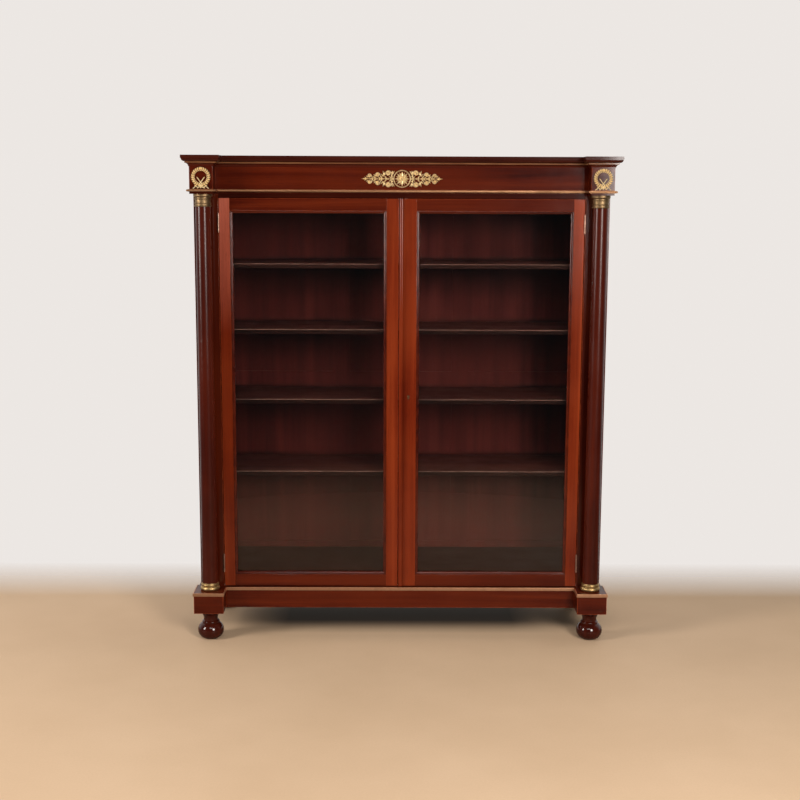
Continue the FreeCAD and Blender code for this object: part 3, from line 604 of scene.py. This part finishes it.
def wreath(side):
    """Laurel wreath on a corner block, with crossed stems and a fluttering ribbon below."""
    low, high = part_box("wreath_" + side)
    relief = Relief((low.x + high.x) / 2, high.y, high.z - 31.5 * MM)
    radius = 25.4
    relief.ring(0, 0, [(24.0, 0), (24.0, 1.2), (25.4, 1.9), (26.8, 1.2), (26.8, 0)], 48)
    stations = 12
    for flip in (-1, 1):
        for index in range(stations):
            turn = -math.pi / 2 + flip * (0.12 + (math.pi - 0.3) * index / (stations - 1))
            for offset, reach, sweep, wide, rise in (
                (-1.6, -6.8, 0.25, 3.5, 3.8),
                (1.6, 6.2, 0.22, 3.7, 3.8),
                (0.0, 0.4, 0.25, 3.7, 4.9),
            ):
                ahead = turn + flip * sweep
                start = Vector((math.cos(turn), math.sin(turn))) * (radius + offset)
                end = Vector((math.cos(ahead), math.sin(ahead))) * (radius + reach)
                relief.leaf(start, end, wide, rise, bend=-flip * 0.6, blunt=0.95)
        crossed = [(-flip * 10.5, -2.5), (-flip * 6, -9.5), (0, -17.6), (flip * 4.5, -23.5)]
        relief.stem(crossed, 2.8, 4.4, 1.1)
        relief.leaf((-flip * 8.5, -6), (-flip * 13.5, 0.5), 3.6, 3.4)
        ribbon = [(0, -27), (flip * 4, -31.5), (flip * 8, -34.5), (flip * 11.5, -33.2), (flip * 14, -30.2)]
        ribbon += [(flip * 17, -29.8), (flip * 19.5, -32), (flip * 22, -35), (flip * 25.5, -37.2)]
        relief.stem(ribbon, 3.2, 3.8, 0.9)
        relief.leaf((flip * 7, -31), (flip * 12.5, -38.0), 3.4, 3.8, blunt=1.3)
        relief.leaf((flip * 15, -28), (flip * 21.5, -25.4), 3.4, 3.6)
    relief.leaf((0, -25), (0, -38.0), 4.6, 3.8, blunt=1.4)
    relief.knob(0, -26.5, 3.4, 5.0)
    gilt = gilding("gilt_bronze_wreath_" + side, "wreath_" + side, 37, 0.35, 0.5)
    relief.finish("gilt_wreath_" + side, gilt, ["wreath_" + side])


# Woods by grain and tone
stile_wood = wood("mahogany_upright", "z", *BRIGHT, 11, extra=painted_sheen_top)
rail_wood = wood("mahogany_across", "x", *RED, 12)
top_wood = wood("mahogany_cornice", "x", *BROWN, 13, extra=red_foot_and_fillet_highlight)
side_wood = wood("mahogany_side", "z", *RED, 14)
depth_wood = wood("mahogany_depth", "y", *RED, 15)
face_wood = wood("mahogany_face", "z", *shades(RED, 0.75), 16)
shadow_wood = wood("mahogany_under_cornice", "x", *shades(RED, 0.5), 22)
sash_wood = wood("mahogany_sash", "x", *RED, 23, 1.0, rough=0.28, coat=0.12)
column_wood = wood("mahogany_column", "z", *DARK, 17, 0.5, rough=0.3, coat=0.19)
foot_wood = wood("mahogany_foot", "z", *shades(DARK, 0.75), 18, 0.8, rough=0.3)
# Rounded edges: brighter tone with pale worn patches, partly real wear and partly a painted highlight
edge_wear_and_highlight_wood = wood("mahogany_edge_worn_highlit", "x", *BRIGHT, 19, 0.6, worn=0.5, rough=0.42)
shelf_shade_wood = wood("mahogany_shelf", "x", *SHELF, 20, 0.08, rough=0.5)
shelf_top_wood = wood("mahogany_shelf_top", "x", *SHELF_TOP, 26, 0.08, rough=0.5)
lip_highlight_wood = wood("mahogany_shelf_lip_highlight", "x", *LIP_HIGHLIGHT, 24, 0.3, worn=0.3, rough=0.4)
back_wood = wood("mahogany_back", "z", *INSIDE, 21, 0.2, rough=0.5, extra=shelf_shadows_and_rear)
lid_wood = wood("mahogany_lid", "x", *RED, 25, 0.12, rough=0.55)

paint(top_wood, "cornice_moulding")
paint(lid_wood, "cornice_top")
paint(shadow_wood, "architrave_slab", "header_rail")
paint(side_wood, "side_panel_left", "side_panel_right")
paint(depth_wood, "frieze_rear_boards", "plinth_rear_frame")
paint(column_wood, "column_left", "column_right")
paint(foot_wood, "feet_front", "feet_rear")
paint(shelf_shade_wood, "bottom_board", "top_board", "bottom_rail")
paint(back_wood, "back_frame", "back_panels")
paint(stile_wood, "left_door_glazing_beads", "right_door_glazing_beads", "meeting_bead")
paint(sash_wood, "left_door_moulding", "right_door_moulding")

for shelf in SHELVES:
    lip_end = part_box(shelf)[0].y + 3 * MM
    board = softened(shelf, 2.4 * MM, shelf_top_wood, lip_highlight_wood)
    board.data.materials.append(shelf_shade_wood)
    for face in board.data.polygons:
        face.material_index = shelf_surface(face, lip_end)
softened("frieze_board", 0.6 * MM, rail_wood, edge_wear_and_highlight_wood)
softened("plinth_apron", 1.2 * MM, rail_wood, edge_wear_and_highlight_wood)
for side in ("left", "right"):
    softened("frieze_block_" + side, 0.8 * MM, rail_wood, edge_wear_and_highlight_wood)
    softened("plinth_block_" + side, 1.2 * MM, rail_wood, edge_wear_and_highlight_wood)
    softened("face_stile_" + side, 0.7 * MM, face_wood, edge_wear_and_highlight_wood)
    softened(side + "_door_stiles", 0.7 * MM, stile_wood, edge_wear_and_highlight_wood)
    softened(side + "_door_rails", 0.7 * MM, rail_wood, edge_wear_and_highlight_wood)

# Metals and glass
capital_brass = brass("gilt_bronze_capital", *CAPITAL, 36, 0.40, 0.45, 160.0)
base_brass = brass("gilt_bronze_base", *BASE, 32, 0.36, 0.5, 160.0)
bead_brass = brass("old_brass_strip", *OLD_BEAD, 33, 0.36, 0.45, 14.0)
brightened_strip_brass = brass("old_brass_plinth_brightened", *BRIGHTENED_STRIP, 39, 0.36, 0.45, 14.0)
shaded_keyhole_brass = brass("old_brass_keyhole_shaded", *KEYHOLE_SHADE, 38, 0.4, 0.8)
hinge_brass = brass("old_brass_hinge", *HINGE, 34, 0.30, 0.7)
lock_brass = brass("old_brass_lock", *LOCK, 35, 0.36, 0.6)
paint(capital_brass, "capital_left", "capital_right")
paint(base_brass, "column_base_left", "column_base_right")
paint(bead_brass, "frieze_bead")
paint(brightened_strip_brass, "plinth_brass_strip")
paint(shaded_keyhole_brass, "keyhole_liner")
paint(hinge_brass, "hinge_leaves_case", "hinge_leaves_left", "hinge_leaves_right", "hinge_pins")
paint(lock_brass, "lock_case", "lock_bolt", "top_bolt", "bottom_bolt", "bolt_guides", "shelf_pins")
paint(pane_glass("pane_glass_left", 1.7), "left_door_glass")
paint(pane_glass("pane_glass_right", 5.3), "right_door_glass")

centre_mount()
wreath("left")
wreath("right")


# Floor, light and camera


def build_floor():
    """Pale matt floor with a painted shadow under the case, darker where seen in reflections, that fades
    away at its rim and, sooner, behind the bookcase.
    """
    mesh = bpy.data.meshes.new("floor")
    reach = 3.4
    corners = [(-reach, -reach, 0), (reach, -reach, 0), (reach, reach, 0), (-reach, reach, 0)]
    mesh.from_pydata(corners, [], [(0, 1, 2, 3)])
    floor = bpy.data.objects.new("floor", mesh)
    bpy.context.scene.collection.objects.link(floor)
    graph = Graph("studio_floor")
    cloud = graph.noise(graph.place(), 1.6, 4, 0.6)
    grit = graph.noise(graph.place(), 160, 3, 0.7)
    beige = graph.mix(graph.span(cloud, 0.3, 0.7), (0.60, 0.42, 0.27), (0.66, 0.47, 0.31))
    beige = graph.mix(graph.span(grit, 0.4, 0.7, 0.0, 0.12), beige, (0.42, 0.30, 0.19))
    spot = graph.coordinates()
    # Painted shadow: near-black patch on the floor under the case
    ends = graph.span(graph.math("ABSOLUTE", spot["X"], 0.0), 0.40, 0.66, 1.0, 0.0)
    front = graph.span(spot["Y"], -0.12, 0.02)
    rear = graph.span(spot["Y"], 0.20, 0.26, 1.0, 0.0)
    painted_shadow_under_case = graph.math("MULTIPLY", graph.math("MULTIPLY", ends, front), rear)
    beige = graph.mix(graph.math("MULTIPLY", painted_shadow_under_case, 0.93), beige, (0.02, 0.014, 0.009))
    # Painted reflection: the floor darker where it is seen in reflections
    seen_in_reflection = graph.node("LightPath").outputs["Is Glossy Ray"]
    beige = graph.mix(seen_in_reflection, beige, (0.27, 0.17, 0.11))
    graph.set(Base_Color=beige, Roughness=0.7, Specular_IOR_Level=0.15)
    radius = graph.node("VectorMath", operation="LENGTH")
    graph.link(graph.place(), radius.inputs[0])
    rim = graph.span(radius.outputs["Value"], 1.75, 3.1, 1.0, 0.0)
    behind = graph.span(spot["Y"], 0.30, 0.75, 1.0, 0.0)
    graph.set(Alpha=graph.math("MULTIPLY", rim, behind))
    mesh.materials.append(graph.material)


def build_world():
    """Pale backdrop for the camera; a bright wall behind and a dim room in front for reflections."""
    world = bpy.data.worlds.new("studio")
    bpy.context.scene.world = world
    world.use_nodes = True
    tree = world.node_tree
    tree.nodes.clear()

    def add(kind, **settings):
        made = tree.nodes.new("ShaderNode" + kind)
        for key, value in settings.items():
            setattr(made, key, value)
        return made

    def slope(source, low, high, to_low, to_high):
        made = add("MapRange")
        tree.links.new(source, made.inputs["Value"])
        for name, number in zip(("From Min", "From Max", "To Min", "To Max"), (low, high, to_low, to_high)):
            made.inputs[name].default_value = number
        return made.outputs["Result"]

    separate = add("SeparateXYZ")
    tree.links.new(add("TexCoord").outputs["Generated"], separate.inputs[0])
    path = add("LightPath")
    height = add("Math", operation="MAXIMUM")
    tree.links.new(slope(separate.outputs["Z"], 0.1, 0.5, 0.0, 1.0), height.inputs[0])
    tree.links.new(path.outputs["Is Glossy Ray"], height.inputs[1])
    wall = add("Math", operation="MULTIPLY")
    tree.links.new(slope(separate.outputs["Y"], -0.15, 0.35, 0.0, 0.8), wall.inputs[0])
    tree.links.new(height.outputs[0], wall.inputs[1])
    total = add("Math", operation="ADD")
    tree.links.new(wall.outputs[0], total.inputs[0])
    total.inputs[1].default_value = 0.026
    room = add("Background")
    tree.links.new(total.outputs[0], room.inputs["Strength"])
    tint = add("ValToRGB")
    tree.links.new(separate.outputs["Y"], tint.inputs["Fac"])
    tint.color_ramp.elements[0].color = (0.72, 0.92, 1.0, 1.0)
    tint.color_ramp.elements[1].color = (1.0, 0.97, 0.94, 1.0)
    tint.color_ramp.elements[1].position = 0.2
    tree.links.new(tint.outputs["Color"], room.inputs["Color"])
    backdrop = add("Background")
    backdrop.inputs["Color"].default_value = (0.84, 0.80, 0.77, 1.0)
    mixed = add("MixShader")
    tree.links.new(path.outputs["Is Camera Ray"], mixed.inputs["Fac"])
    tree.links.new(room.outputs[0], mixed.inputs[1])
    tree.links.new(backdrop.outputs[0], mixed.inputs[2])
    output = add("OutputWorld")
    tree.links.new(mixed.outputs[0], output.inputs["Surface"])


def area_light(name, place, target, size, power):
    """Warm rectangular light turned to its target; size is its width and height."""
    data = bpy.data.lights.new(name, "AREA")
    data.shape = "RECTANGLE"
    data.size, data.size_y = size
    data.energy = power
    data.color = (1.0, 0.95, 0.9)
    light = bpy.data.objects.new(name, data)
    bpy.context.scene.collection.objects.link(light)
    light.location = place
    light.rotation_euler = (Vector(target) - Vector(place)).to_track_quat("-Z", "Y").to_euler()


def key_lights():
    """A tall soft light to each side, over narrow strips that weaken towards the floor."""
    distance = 4.2
    target = (0, -0.15, 1.3)
    strips = ((1.28, 8.5), (1.14, 6.0), (1.0, 3.6), (0.86, 1.6))
    for side, degrees, power in (("left", -62, 106), ("right", 25, 128)):
        turn = math.radians(degrees)
        panels = [(2.15, 1.6, power)] + [(height, 0.14, watts) for height, watts in strips]
        for number, (height, tall, watts) in enumerate(panels):
            place = (distance * math.sin(turn), target[1] - distance * math.cos(turn), height)
            area_light("key_%s_%d" % (side, number), place, target, (1.0, tall), watts)


def build_camera():
    """View from the front, looking slightly down from near the cornice's height."""
    data = bpy.data.cameras.new("camera")
    data.sensor_width = 36.0
    data.lens = 58.28
    camera = bpy.data.objects.new("camera", data)
    bpy.context.scene.collection.objects.link(camera)
    camera.location = (-0.0309, -4.4518, 1.5073)
    camera.rotation_euler = [math.radians(angle) for angle in (81.017, -0.240, -0.322)]
    bpy.context.scene.camera = camera


build_floor()
build_world()
key_lights()
area_light("high_front", (0.0, -3.6, 3.1), (0, 0, 0.9), (1.8, 0.7), 40)
build_camera()
bpy.context.scene.view_settings.view_transform = "Standard"
